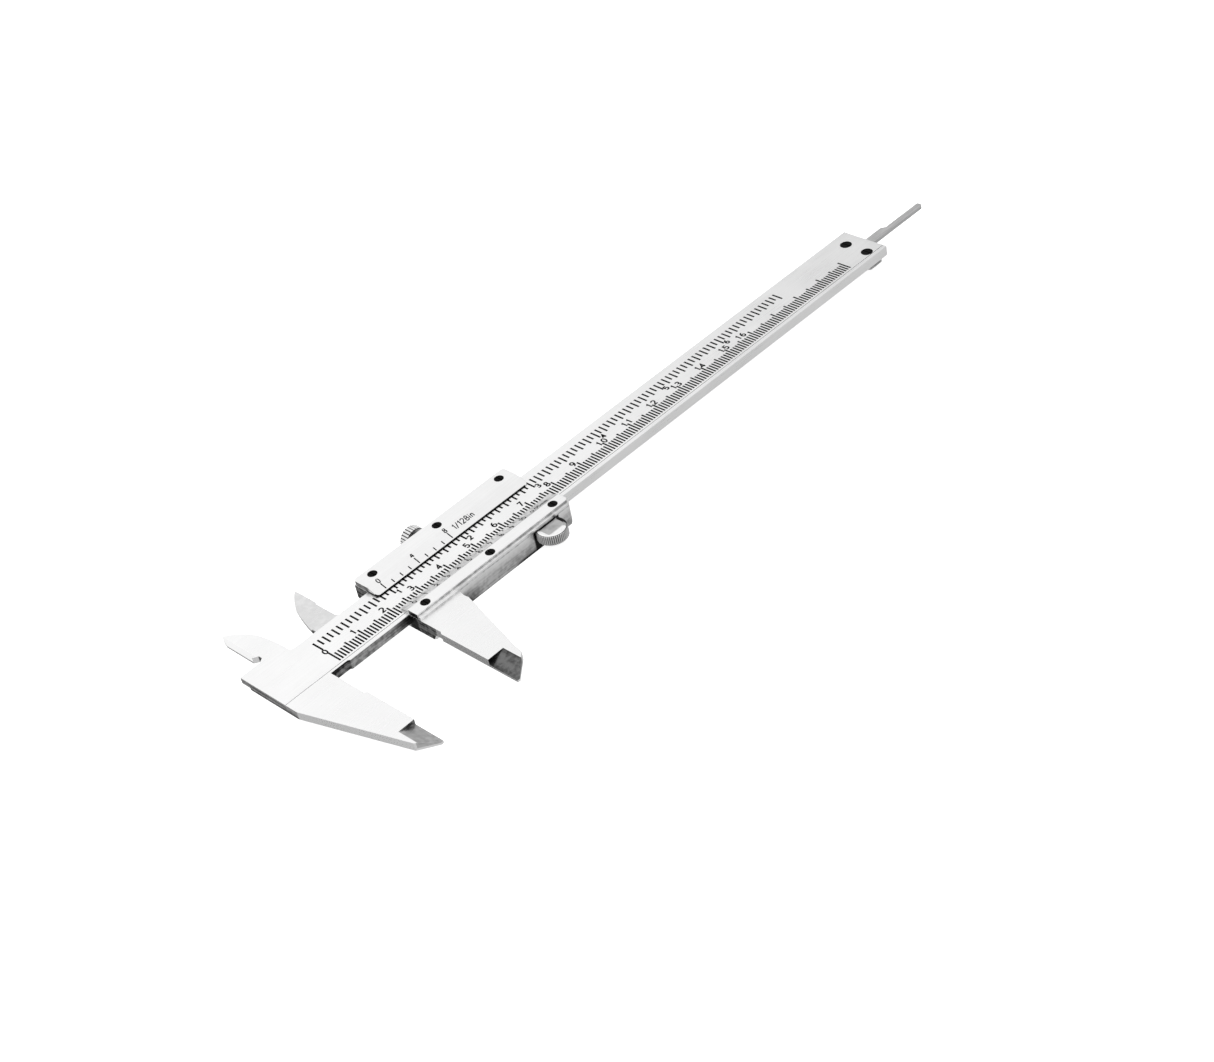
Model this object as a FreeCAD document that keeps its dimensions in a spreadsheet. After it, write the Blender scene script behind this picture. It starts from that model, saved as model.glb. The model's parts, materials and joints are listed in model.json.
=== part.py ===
import FreeCAD, Part
import Sketcher
import math
import os
from FreeCAD import Placement, Rotation, Vector

# A 150 mm vernier caliper, opened to 25 mm.
#
# Datum used by every sketch: X runs along the beam and starts at a jaw's measuring face, Y starts
# at the beam's lower edge and points towards the inside jaws, and Z starts at the beam's engraved
# face and points out of it. Pieces on the beam measure X from the fixed outside jaw's face, and
# pieces on the slider measure it from the moving outside jaw's face. Each piece's Placement then
# moves this datum into the part's frame, whose origin is the middle of the fixed measuring face.

doc = FreeCAD.newDocument("VernierCaliper")
sheet = doc.addObject("Spreadsheet::Sheet", "Sheet")


class Size:
    """A number that remembers how it is worked out from the sheet's cells."""

    def __init__(self, value, text):
        self.value = value
        self.text = text

    def __add__(self, other):
        other = as_size(other)
        return Size(self.value + other.value, f"({self.text} + {other.text})")

    def __sub__(self, other):
        other = as_size(other)
        return Size(self.value - other.value, f"({self.text} - {other.text})")

    def __mul__(self, other):
        other = as_size(other)
        return Size(self.value * other.value, f"({self.text} * {other.text})")

    def __truediv__(self, other):
        other = as_size(other)
        return Size(self.value / other.value, f"({self.text} / {other.text})")

    def __neg__(self):
        return Size(-self.value, f"(-{self.text})")

    __radd__ = __add__


def as_size(number):
    return number if isinstance(number, Size) else Size(float(number), f"({float(number)})")


def cell(alias, value):
    """Put one driving dimension in the sheet and return it as a Size."""
    cell.row += 1
    place = f"A{cell.row}"
    sheet.set(place, str(value))
    sheet.setAlias(place, alias)
    return Size(float(value), f"Sheet.{alias}")


cell.row = 0

# Beam and fixed jaws.
beam_width = cell("beam_width", 16.0)
beam_thick = cell("beam_thick", 3.0)
beam_end = cell("beam_end", 218.0)
head_left = cell("head_left", 15.0)
head_drop = cell("head_drop", 3.0)
head_rise = cell("head_rise", 3.3)
jaw_reach = cell("jaw_reach", 40.0)
jaw_thick = cell("jaw_thick", 2.5)
jaw_relief = cell("jaw_relief", 0.7)
relief_reach = cell("relief_reach", 12.0)
knife_reach = cell("knife_reach", 10.0)
knife_wide = cell("knife_wide", 5.2)
knife_deep = cell("knife_deep", 1.7)
tip_flat = cell("tip_flat", 0.8)
shoulder_wide = cell("shoulder_wide", 5.8)
shoulder_reach = cell("shoulder_reach", 36.2)
inside_edge = cell("inside_edge", 8.5)
inside_reach = cell("inside_reach", 36.0)
inside_thick = cell("inside_thick", 1.9)
inside_bevel_wide = cell("inside_bevel_wide", 0.9)
inside_bevel_deep = cell("inside_bevel_deep", 1.4)
inside_tip_drop = cell("inside_tip_drop", 2.5)
fixed_tip_wide = cell("fixed_tip_wide", 0.9)
fixed_back_wide = cell("fixed_back_wide", 6.4)
fixed_back_drop = cell("fixed_back_drop", 7.6)
fixed_root_wide = cell("fixed_root_wide", 7.6)
fixed_root_up = cell("fixed_root_up", 1.6)
notch_deep = cell("notch_deep", 1.5)
notch_start = cell("notch_start", 1.0)
notch_end = cell("notch_end", 2.2)
scribe_up = cell("scribe_up", 1.25)
scribe_wide = cell("scribe_wide", 0.16)
scribe_deep = cell("scribe_deep", 0.06)
undercut_long = cell("undercut_long", 5.4)
undercut_deep = cell("undercut_deep", 0.5)

# Opening shown by the verniers, the place of the part's origin, and the sliding clearances.
reading = cell("reading", 25.0)
origin_drop = cell("origin_drop", 20.0)
slide_gap = cell("slide_gap", 0.05)
screw_gap = cell("screw_gap", 0.03)

# Slider.
slider_start = cell("slider_start", 0.5)
slider_long = cell("slider_long", 54.7)
slider_low = cell("slider_low", 4.6)
slider_high = cell("slider_high", 21.4)
slider_back = cell("slider_back", 5.7)
slider_corner = cell("slider_corner", 1.5)
back_bevel = cell("back_bevel", 1.3)
lip_wide = cell("lip_wide", 0.9)
lip_top = cell("lip_top", 1.0)
blade_wide = cell("blade_wide", 7.5)
blade_corner = cell("blade_corner", 3.8)
root_reach = cell("root_reach", 7.5)
root_slope = cell("root_slope", 2.0)
root_long = cell("root_long", 13.8)
root_curve = cell("root_curve", 5.0)
arm_high = cell("arm_high", 18.2)
arm_curve = cell("arm_curve", 1.5)
moving_notch_deep = cell("moving_notch_deep", 0.4)
moving_notch_start = cell("moving_notch_start", 8.5)
moving_tip_wide = cell("moving_tip_wide", 0.2)
moving_back_wide = cell("moving_back_wide", 4.9)
moving_back_drop = cell("moving_back_drop", 6.2)
moving_root_wide = cell("moving_root_wide", 8.7)
moving_bevel = cell("moving_bevel", 0.3)
gib_start = cell("gib_start", 8.0)
gib_long = cell("gib_long", 40.0)
gib_thick = cell("gib_thick", 0.8)
gib_gap = cell("gib_gap", 0.1)

# Front plates and their screws.
plate_top = cell("plate_top", 1.6)
plate_edge = cell("plate_edge", 0.2)
upper_bevel_start = cell("upper_bevel_start", 16.3)
upper_bevel_end = cell("upper_bevel_end", 11.9)
lower_bevel_start = cell("lower_bevel_start", 0.05)
lower_bevel_end = cell("lower_bevel_end", 2.9)
lower_land_end = cell("lower_land_end", 3.6)
lower_land_rise = cell("lower_land_rise", 0.1)
plate_corner = cell("plate_corner", 1.0)
screw_start = cell("screw_start", 5.1)
screw_pitch = cell("screw_pitch", 23.1)
upper_screw_up = cell("upper_screw_up", 18.9)
lower_screw_down = cell("lower_screw_down", 1.75)
screw_head = cell("screw_head", 1.35)
screw_head_tall = cell("screw_head_tall", 0.8)
screw_shank = cell("screw_shank", 0.7)
screw_long = cell("screw_long", 4.2)
screw_slot = cell("screw_slot", 0.35)
screw_slot_deep = cell("screw_slot_deep", 0.35)

# Locking screw and gib screws.
lock_along = cell("lock_along", 23.1)
lock_shank = cell("lock_shank", 1.25)
lock_neck = cell("lock_neck", 1.9)
lock_neck_long = cell("lock_neck_long", 0.8)
lock_head = cell("lock_head", 3.6)
lock_head_long = cell("lock_head_long", 2.8)
lock_edge = cell("lock_edge", 0.3)
lock_dish = cell("lock_dish", 1.2)
lock_dish_deep = cell("lock_dish_deep", 0.25)
lock_teeth = cell("lock_teeth", 24)
lock_knurl_deep = cell("lock_knurl_deep", 0.3)
gib_screw_radius = cell("gib_screw_radius", 0.8)
gib_screw_offset = cell("gib_screw_offset", 13.0)
gib_screw_sunk = cell("gib_screw_sunk", 0.3)

# Thumb rest.
thumb_along = cell("thumb_along", 45.6)
thumb_out = cell("thumb_out", 6.5)
thumb_radius = cell("thumb_radius", 4.35)
thumb_thick = cell("thumb_thick", 3.0)
thumb_pin_in = cell("thumb_pin_in", 3.1)
thumb_gap = cell("thumb_gap", 0.25)
thumb_chamfer = cell("thumb_chamfer", 0.35)
thumb_dish = cell("thumb_dish", 3.4)
thumb_dish_deep = cell("thumb_dish_deep", 0.2)
thumb_teeth = cell("thumb_teeth", 48)
thumb_knurl_deep = cell("thumb_knurl_deep", 0.2)
thumb_pin_radius = cell("thumb_pin_radius", 0.6)

# Depth rod and its groove.
rod_wide = cell("rod_wide", 3.1)
rod_thick = cell("rod_thick", 1.1)
rod_sunk = cell("rod_sunk", 0.3)
rod_inner = cell("rod_inner", 38.0)
rod_step_long = cell("rod_step_long", 15.0)
rod_step_wide = cell("rod_step_wide", 2.0)
groove_start = cell("groove_start", 32.0)
rod_pin_radius = cell("rod_pin_radius", 0.6)
rod_pin_first = cell("rod_pin_first", 41.0)
rod_pin_pitch = cell("rod_pin_pitch", 6.0)

# Stop plate behind the beam's end.
stop_start = cell("stop_start", 210.2)
stop_long = cell("stop_long", 5.9)
stop_thick = cell("stop_thick", 1.1)
stop_inset = cell("stop_inset", 0.3)
stop_screw_along = cell("stop_screw_along", 212.85)
stop_screw_head = cell("stop_screw_head", 1.75)
stop_screw_low = cell("stop_screw_low", 3.2)
stop_screw_high = cell("stop_screw_high", 11.1)
stop_corner = cell("stop_corner", 0.8)
doc.recompute()

zero = Size(0.0, "0")
along_x = Vector(1, 0, 0)
along_z = Vector(0, 0, 1)
slider_end = slider_start + slider_long
beam_middle = beam_width / 2
mid_thick = beam_thick / 2
rail_top = slide_gap
lip_inner = slider_low - lip_wide
rod_back = beam_thick - rod_sunk
rod_front = rod_back - rod_thick
parts = []


def place_piece(piece, label, on_slider):
    """Name a piece and move its datum into the part's frame."""
    piece.Label = label
    piece.Placement = Placement(Vector(0, 0, 0), Rotation())
    if on_slider:
        piece.setExpression(".Placement.Base.x", reading.text)
    piece.setExpression(".Placement.Base.y", origin_drop.text)
    piece.setExpression(".Placement.Base.z", mid_thick.text)
    parts.append(piece)


def new_body(label, on_slider=False):
    body = doc.addObject("PartDesign::Body", label)
    place_piece(body, label, on_slider)
    return body


def attach(sketch, body, role, offset, centre):
    """Put a sketch on one of its body's planes, with its own origin at the centre."""
    plane = next(feature for feature in body.Origin.OriginFeatures if feature.Role == role)
    sketch.AttachmentSupport = [(plane, "")]
    sketch.MapMode = "FlatFace"
    sketch.setExpression(".AttachmentOffset.Base.x", as_size(centre[0]).text)
    sketch.setExpression(".AttachmentOffset.Base.y", as_size(centre[1]).text)
    sketch.setExpression(".AttachmentOffset.Base.z", as_size(offset).text)


def fix_point(sketch, edge, end, x, y):
    """Hold a sketch point at a distance from the sketch's origin that follows the sheet."""
    for kind, distance, axis in (("DistanceX", as_size(x), -2), ("DistanceY", as_size(y), -1)):
        if abs(distance.value) < 1e-9:
            sketch.addConstraint(Sketcher.Constraint("PointOnObject", edge, end, axis))
        elif distance.value > 0:
            index = sketch.addConstraint(Sketcher.Constraint(kind, -1, 1, edge, end, distance.value))
            sketch.setExpression(f"Constraints[{index}]", distance.text)
        else:
            index = sketch.addConstraint(Sketcher.Constraint(kind, edge, end, -1, 1, -distance.value))
            sketch.setExpression(f"Constraints[{index}]", (-distance).text)


def arc_between(start, end, radius):
    """The shorter arc from start to end; a positive radius turns anticlockwise."""
    chord = end - start
    across = Vector(-chord.y, chord.x, 0).normalize()
    height = math.sqrt(radius * radius - chord.Length * chord.Length / 4)
    centre = (start + end) / 2 + across * math.copysign(height, radius)
    first, last = (start, end) if radius > 0 else (end, start)
    angles = [math.atan2(point.y - centre.y, point.x - centre.x) for point in (first, last)]
    circle = Part.Circle(centre, Vector(0, 0, 1), abs(radius))
    return Part.ArcOfCircle(circle, angles[0], angles[1])


def outline(body, name, role, corners, offset=0.0, centre=(0.0, 0.0)):
    """A closed sketch. A corner's third entry makes the edge after it an arc of that radius."""
    sketch = body.newObject("Sketcher::SketchObject", name)
    attach(sketch, body, role, offset, centre)
    count = len(corners)
    ends = []
    for index, corner in enumerate(corners):
        following = corners[(index + 1) % count]
        start = Vector(as_size(corner[0]).value, as_size(corner[1]).value, 0)
        end = Vector(as_size(following[0]).value, as_size(following[1]).value, 0)
        if len(corner) == 3:
            radius = as_size(corner[2])
            edge = sketch.addGeometry(arc_between(start, end, radius.value), False)
            ends.append((edge, 1, 2) if radius.value > 0 else (edge, 2, 1))
            turn = radius if radius.value > 0 else -radius
            index_radius = sketch.addConstraint(Sketcher.Constraint("Radius", edge, turn.value))
            sketch.setExpression(f"Constraints[{index_radius}]", turn.text)
        else:
            edge = sketch.addGeometry(Part.LineSegment(start, end), False)
            ends.append((edge, 1, 2))
    for index in range(count):
        edge, first, last = ends[index]
        next_edge, next_first, next_last = ends[(index + 1) % count]
        joint = Sketcher.Constraint("Coincident", edge, last, next_edge, next_first)
        sketch.addConstraint(joint)
        fix_point(sketch, edge, first, corners[index][0], corners[index][1])
    return sketch


def rectangle(body, name, role, low, high, offset=0.0):
    corners = [(low[0], low[1]), (high[0], low[1]), (high[0], high[1]), (low[0], high[1])]
    return outline(body, name, role, corners, offset)


def circles(body, name, role, centres, radius, offset=0.0):
    sketch = body.newObject("Sketcher::SketchObject", name)
    attach(sketch, body, role, offset, (0.0, 0.0))
    radius = as_size(radius)
    for x, y in centres:
        centre = Vector(as_size(x).value, as_size(y).value, 0)
        edge = sketch.addGeometry(Part.Circle(centre, Vector(0, 0, 1), radius.value), False)
        index = sketch.addConstraint(Sketcher.Constraint("Radius", edge, radius.value))
        sketch.setExpression(f"Constraints[{index}]", radius.text)
        fix_point(sketch, edge, 3, x, y)
    return sketch


def pad(body, sketch, length, backwards=False):
    feature = body.newObject("PartDesign::Pad", sketch.Name + "Pad")
    feature.Profile = sketch
    feature.setExpression("Length", as_size(length).text)
    feature.Reversed = backwards
    doc.recompute()
    return feature


def pocket(body, sketch, length, backwards=False):
    """Cut, and make sure that something was cut away."""
    before = body.Shape.Volume
    feature = body.newObject("PartDesign::Pocket", sketch.Name + "Pocket")
    feature.Profile = sketch
    feature.setExpression("Length", as_size(length).text)
    feature.Reversed = backwards
    doc.recompute()
    if body.Shape.Volume > before - 1e-4:
        raise RuntimeError(f"{sketch.Name} cuts nothing")
    return feature


def edges_along(shape, axis, test):
    """Names of the edges along an axis whose two ends both pass the test."""
    names = []
    for index, edge in enumerate(shape.Edges, start=1):
        if len(edge.Vertexes) != 2:
            continue
        first, last = [vertex.Point for vertex in edge.Vertexes]
        chord = last - first
        if abs(abs(chord.dot(axis)) - edge.Length) < 1e-6 and test(first) and test(last):
            names.append(f"Edge{index}")
    return names


def dress(body, kind, size, axis, test):
    """Chamfer or Fillet the edges of the body's tip that pass the test."""
    base = body.Tip
    names = edges_along(base.Shape, axis, test)
    if not names:
        raise RuntimeError(f"{body.Label} has no edge to dress")
    feature = body.newObject(f"PartDesign::{kind}", f"{body.Label}{kind}")
    feature.Base = (base, names)
    feature.setExpression("Radius" if kind == "Fillet" else "Size", as_size(size).text)
    doc.recompute()
    return feature


def near(value, size):
    return abs(value - as_size(size).value) < 1e-4


def make_main_beam():
    """Beam, fixed outside jaw and fixed inside jaw, ground from one forging."""
    body = new_body("main_beam")
    bar = outline(body, "BeamOutline", "XY_Plane", [
        (beam_end, zero),
        (beam_end, beam_width),
        (-head_left, beam_width),
        (-head_left, -head_drop),
        (-shoulder_wide, -shoulder_reach),
        (-tip_flat, -jaw_reach),
        (zero, -jaw_reach),
        (zero, -relief_reach - jaw_relief),
        (-jaw_relief, -relief_reach),
        (-jaw_relief, undercut_deep),
        (undercut_long - undercut_deep, undercut_deep),
        (undercut_long, zero),
    ], -beam_thick)
    pad(body, bar, beam_thick)

    # The head and its outside jaw are ground thinner than the beam at the back.
    thinned = rectangle(body, "JawBack", "XY_Plane", (-head_left - 1, -jaw_reach - 1),
                        (zero, beam_width + 1), -jaw_thick)
    pocket(body, thinned, beam_thick)

    # The upper head and inside jaw are thinner still, so the moving one can pass behind.
    head_top = beam_width + head_rise
    notch = inside_edge - notch_deep
    inside = outline(body, "InsideJawOutline", "XY_Plane", [
        (-head_left, beam_width - 1),
        (-head_left, head_top),
        (-inside_edge, head_top),
        (-notch, head_top + notch_start),
        (-notch, head_top + notch_end),
        (-inside_edge, head_top + notch_start + notch_end),
        (-inside_edge, inside_reach - inside_tip_drop, -12),
        (-inside_edge + fixed_tip_wide, inside_reach, -16),
        (-inside_edge + fixed_back_wide, inside_reach - fixed_back_drop, -45),
        (-inside_edge + fixed_root_wide, beam_width + fixed_root_up, 1.7),
        (zero, beam_width),
        (zero, beam_width - 1),
    ], -inside_thick)
    pad(body, inside, inside_thick)

    # The inside jaw's measuring edge is bevelled from the front to a thin land.
    bevel = outline(body, "InsideBevel", "XZ_Plane", [
        (-inside_edge + inside_bevel_wide * 2, inside_bevel_deep),
        (-inside_edge - inside_bevel_wide, inside_bevel_deep),
        (-inside_edge - inside_bevel_wide, -inside_bevel_deep * 2),
    ], -inside_reach - 1)
    pocket(body, bevel, inside_reach + 1 - head_top - notch_start - notch_end, backwards=True)

    # The outside jaw's tip is bevelled from the engraved face to make its knife edge.
    knife = outline(body, "KnifeWedge", "XZ_Plane", [
        (-knife_wide, zero),
        (knife_wide, -knife_deep * 2),
        (knife_wide, zero + 1),
        (-knife_wide, zero + 1),
    ], jaw_reach + 1)
    pocket(body, knife, knife_reach + 1)

    # Groove for the depth rod, open at the beam's end.
    half = rod_wide / 2 + slide_gap
    groove = rectangle(body, "RodGroove", "XY_Plane",
                       (groove_start, beam_middle - half), (beam_end + 1, beam_middle + half),
                       -rod_front + slide_gap)
    pocket(body, groove, beam_thick)

    # Fine line scribed along the whole engraved face.
    scribe = rectangle(body, "ScribedLine", "XY_Plane",
                       (-head_left - 1, scribe_up), (beam_end + 1, scribe_up + scribe_wide))
    pocket(body, scribe, scribe_deep)

    places = [(stop_screw_along, stop_screw_low), (stop_screw_along, stop_screw_high)]
    pocket(body, circles(body, "StopHoles", "XY_Plane", places, screw_shank + screw_gap),
           beam_thick + 1)
    pocket(body, circles(body, "StopHeadHoles", "XY_Plane", places, stop_screw_head + screw_gap),
           screw_head_tall)

    return body


def make_slider_frame():
    """Slider: the channel round the beam, with the moving outside and inside jaws."""
    body = new_body("slider_frame", on_slider=True)
    channel = outline(body, "Channel", "YZ_Plane", [
        (-slider_low, -slider_back),
        (slider_high, -slider_back),
        (slider_high, rail_top),
        (beam_width + slide_gap, rail_top),
        (beam_width + slide_gap, -beam_thick - slide_gap),
        (-slide_gap, -beam_thick - slide_gap),
        (-slide_gap, rail_top),
        (-lip_inner, rail_top),
        (-lip_inner, lip_top),
        (-slider_low, lip_top),
    ], slider_start)
    pad(body, channel, slider_long)

    jaw = outline(body, "OutsideJaw", "XY_Plane", [
        (slider_start, -slide_gap - 1),
        (slider_start, -relief_reach),
        (zero, -relief_reach - jaw_relief),
        (zero, -jaw_reach),
        (tip_flat, -jaw_reach),
        (blade_wide - tip_flat, -shoulder_reach + 1.1),
        (blade_wide, -shoulder_reach + 1.1 + blade_corner),
        (root_long, -root_reach - tip_flat, -root_curve),
        (root_long + 1.2, -slider_low + 1),
        (root_long + 1.2, -slide_gap - 1),
    ], -jaw_thick)
    pad(body, jaw, jaw_thick)

    # Behind the jaw's root the slider's full depth slopes down to the blade.
    web = outline(body, "JawRoot", "YZ_Plane", [
        (-slider_low + 1, -slider_back),
        (-root_reach, -slider_back),
        (-root_reach - root_slope, -jaw_thick),
        (-slider_low + 1, -jaw_thick),
    ], slider_start)
    pad(body, web, root_long - slider_start - 1)

    # Inside jaw in the rear third of the thickness, carried by a low arm beside the beam.
    low = beam_width + gib_gap
    notch = inside_edge + moving_notch_deep
    inside = outline(body, "InsideJaw", "XY_Plane", [
        (slider_start + 2, low),
        (slider_start + 2, arm_high),
        (-notch + arm_curve, arm_high, -arm_curve),
        (-notch, arm_high + arm_curve),
        (-notch, arm_high + moving_notch_start),
        (-inside_edge, arm_high + moving_notch_start + 1),
        (-inside_edge, inside_reach - inside_tip_drop, 12),
        (-inside_edge - moving_tip_wide, inside_reach, 30),
        (-inside_edge - moving_back_wide, inside_reach - moving_back_drop, 60),
        (-inside_edge - moving_root_wide, low),
    ], -beam_thick)
    pad(body, inside, beam_thick - inside_thick - gib_gap)

    # The inside jaw's front tapers towards its measuring edge.
    front = inside_thick + gib_gap
    taper = outline(body, "InsideTaper", "XZ_Plane", [
        (-inside_edge - moving_root_wide, -front),
        (-inside_edge + 1, -front - moving_bevel),
        (-inside_edge + 1, -front + 1),
        (-inside_edge - moving_root_wide, -front + 1),
    ], -inside_reach - 1)
    pocket(body, taper, inside_reach + 1 - arm_high, backwards=True)

    knife = outline(body, "KnifeWedge", "XZ_Plane", [
        (-knife_wide, -knife_deep * 2),
        (knife_wide, zero),
        (knife_wide, zero + 1),
        (-knife_wide, zero + 1),
    ], jaw_reach + 1)
    pocket(body, knife, knife_reach + 1)

    # The back edges of both ends are bevelled.
    for name, end, inward in (("StartBevel", slider_start, 1), ("EndBevel", slider_end, -1)):
        bevel = outline(body, name, "XZ_Plane", [
            (end, -slider_back + back_bevel),
            (end, -slider_back - 1),
            (end + (back_bevel + 1) * inward, -slider_back - 1),
        ], jaw_reach)
        pocket(body, bevel, jaw_reach + slider_high + 1)

    # Recess that keeps the gib strip in place beside the beam's upper edge.
    recess = rectangle(body, "GibRecess", "XY_Plane",
                       (gib_start, beam_width), (gib_start + gib_long, beam_width + gib_gap
                        + gib_thick + slide_gap), rail_top)
    pocket(body, recess, beam_thick + slide_gap * 2)

    screws = [screw_start + screw_pitch * step for step in range(3)]
    places = [(x, upper_screw_up) for x in screws] + [(x, -lower_screw_down) for x in screws]
    plate_holes = circles(body, "PlateScrewHoles", "XY_Plane", places, screw_shank + screw_gap,
                          rail_top)
    pocket(body, plate_holes, screw_long - plate_top + 0.5)

    # Cross holes for the locking screw and the two gib screws.
    lock_hole = circles(body, "LockHole", "XZ_Plane", [(lock_along, -mid_thick)],
                        lock_shank + screw_gap, -slider_high)
    pocket(body, lock_hole, slider_high - beam_width, backwards=True)
    gib_places = [(lock_along - gib_screw_offset, -mid_thick),
                  (lock_along + gib_screw_offset, -mid_thick)]
    gib_holes = circles(body, "GibScrewHoles", "XZ_Plane", gib_places,
                        gib_screw_radius + screw_gap, -slider_high)
    pocket(body, gib_holes, slider_high - beam_width, backwards=True)

    # Round pocket for the thumb rest, and the holes for its dowel and the depth rod's pins.
    seat = circles(body, "ThumbSeat", "XY_Plane", [(thumb_along, -thumb_out)],
                   thumb_radius + thumb_gap, rail_top)
    pocket(body, seat, thumb_thick + slide_gap * 2)
    pin_places = [(thumb_along, -thumb_out + thumb_pin_in)]
    pocket(body, circles(body, "ThumbPinHole", "XY_Plane", pin_places,
                         thumb_pin_radius + screw_gap), slider_back + 1)
    rod_places = [(rod_pin_first + rod_pin_pitch * step, beam_middle) for step in range(2)]
    pocket(body, circles(body, "RodPinHoles", "XY_Plane", rod_places,
                         rod_pin_radius + screw_gap), slider_back + 1)

    for name, side, outward in (("LowCorner", -slider_low, -1), ("HighCorner", slider_high, 1)):
        corner = outline(body, name, "XY_Plane", [
            (slider_end, side - slider_corner * outward, slider_corner * outward),
            (slider_end - slider_corner, side),
            (slider_end - slider_corner, side + outward),
            (slider_end + 1, side + outward),
            (slider_end + 1, side - slider_corner * outward),
        ], lip_top)
        pocket(body, corner, slider_back + lip_top + 1)
    return body


def make_front_plate(label, profile, screw_up):
    """One of the two bevelled front plates, with three counterbored screw holes."""
    body = new_body(label, on_slider=True)
    pad(body, outline(body, label + "_profile", "YZ_Plane", profile, slider_start), slider_long)
    places = [(screw_start + screw_pitch * step, screw_up) for step in range(3)]
    pocket(body, circles(body, label + "_holes", "XY_Plane", places, screw_shank + screw_gap,
                         plate_top), plate_top)
    pocket(body, circles(body, label + "_heads", "XY_Plane", places, screw_head + screw_gap,
                         plate_top), screw_head_tall)
    return body


def make_upper_vernier_plate():
    """Front plate on the upper rail; its lower edge is bevelled down to the inch scale."""
    body = make_front_plate("upper_vernier_plate", [
        (slider_high, rail_top),
        (slider_high, plate_top),
        (upper_bevel_start, plate_top),
        (upper_bevel_end, rail_top + plate_edge),
        (upper_bevel_end, rail_top),
    ], upper_screw_up)
    ends = (slider_start, slider_end)
    dress(body, "Fillet", plate_corner, along_z, lambda p: any(near(p.x, end) for end in ends) and
          (near(p.y, upper_bevel_end) or near(p.y, slider_high)))
    return body


def make_lower_vernier_plate():
    """Front plate behind the lower rail's lip, bevelled down to a narrow land over the beam."""
    edge = lip_inner - slide_gap
    body = make_front_plate("lower_vernier_plate", [
        (-edge, rail_top),
        (lower_land_end, rail_top),
        (lower_land_end, rail_top + plate_edge),
        (lower_bevel_end, rail_top + plate_edge + lower_land_rise),
        (-lower_bevel_start, plate_top),
        (-edge, plate_top),
    ], -lower_screw_down)
    dress(body, "Fillet", plate_corner, along_z, lambda p: near(p.x, slider_end)
          and near(p.y, -edge))
    dress(body, "Fillet", plate_corner / 2, along_z, lambda p: near(p.y, lower_land_end))
    return body


def make_screw_group(label, places, head_radius, top, length, on_slider):
    """Slotted flush screws with their axes along Z, as separate solids in one compound."""
    screws = []
    for number, (x, y) in enumerate(places, start=1):
        head = doc.addObject("Part::Cylinder", f"{label}_head{number}")
        head.setExpression("Radius", head_radius.text)
        head.setExpression("Height", screw_head_tall.text)
        head.setExpression(".Placement.Base.x", as_size(x).text)
        head.setExpression(".Placement.Base.y", as_size(y).text)
        head.setExpression(".Placement.Base.z", (top - screw_head_tall).text)
        shank = doc.addObject("Part::Cylinder", f"{label}_shank{number}")
        shank.setExpression("Radius", screw_shank.text)
        shank.setExpression("Height", (length - screw_head_tall / 2).text)
        shank.setExpression(".Placement.Base.x", as_size(x).text)
        shank.setExpression(".Placement.Base.y", as_size(y).text)
        shank.setExpression(".Placement.Base.z", (top - length).text)
        slot = doc.addObject("Part::Box", f"{label}_slot{number}")
        slot.setExpression("Length", screw_slot.text)
        slot.setExpression("Width", (head_radius * 3).text)
        slot.setExpression("Height", (screw_slot_deep + 1).text)
        slot.setExpression(".Placement.Base.x", (as_size(x) - screw_slot / 2).text)
        slot.setExpression(".Placement.Base.y", (as_size(y) - head_radius * 1.5).text)
        slot.setExpression(".Placement.Base.z", (top - screw_slot_deep).text)
        solid = doc.addObject("Part::Fuse", f"{label}_solid{number}")
        solid.Base = head
        solid.Tool = shank
        screw = doc.addObject("Part::Cut", f"{label}_screw{number}")
        screw.Base = solid
        screw.Tool = slot
        screws.append(screw)
    group = doc.addObject("Part::Compound", label)
    group.Links = screws
    doc.recompute()
    place_piece(group, label, on_slider)
    return group


def make_pin_group(label, places, radius, low, length, on_slider):
    """Plain pins with their axes along Z."""
    pins = []
    for number, (x, y) in enumerate(places, start=1):
        pin = doc.addObject("Part::Cylinder", f"{label}_pin{number}")
        pin.setExpression("Radius", radius.text)
        pin.setExpression("Height", length.text)
        pin.setExpression(".Placement.Base.x", as_size(x).text)
        pin.setExpression(".Placement.Base.y", as_size(y).text)
        pin.setExpression(".Placement.Base.z", low.text)
        pins.append(pin)
    group = doc.addObject("Part::Compound", label)
    group.Links = pins
    doc.recompute()
    place_piece(group, label, on_slider)
    return group


def make_gib_screws():
    """Two slotted set screws along Y that bear on the gib strip."""
    inner = beam_width + gib_gap + gib_thick + slide_gap
    screws = []
    for number, side in enumerate((-1, 1), start=1):
        along = lock_along + gib_screw_offset * side
        screw = doc.addObject("Part::Cylinder", f"gib_screw{number}")
        screw.Placement = Placement(Vector(0, 0, 0), Rotation(Vector(1, 0, 0), -90))
        screw.setExpression("Radius", gib_screw_radius.text)
        screw.setExpression("Height", (slider_high - inner - gib_screw_sunk).text)
        screw.setExpression(".Placement.Base.x", along.text)
        screw.setExpression(".Placement.Base.y", inner.text)
        screw.setExpression(".Placement.Base.z", (-mid_thick).text)
        slot = doc.addObject("Part::Box", f"gib_slot{number}")
        slot.setExpression("Length", screw_slot.text)
        slot.setExpression("Width", (screw_slot_deep + 1).text)
        slot.setExpression("Height", (gib_screw_radius * 3).text)
        slot.setExpression(".Placement.Base.x", (along - screw_slot / 2).text)
        slot.setExpression(".Placement.Base.y",
                           (slider_high - gib_screw_sunk - screw_slot_deep).text)
        slot.setExpression(".Placement.Base.z", (-mid_thick - gib_screw_radius * 1.5).text)
        cut = doc.addObject("Part::Cut", f"gib_cut{number}")
        cut.Base = screw
        cut.Tool = slot
        screws.append(cut)
    group = doc.addObject("Part::Compound", "gib_screws")
    group.Links = screws
    doc.recompute()
    place_piece(group, "gib_screws", on_slider=True)
    return group


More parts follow.
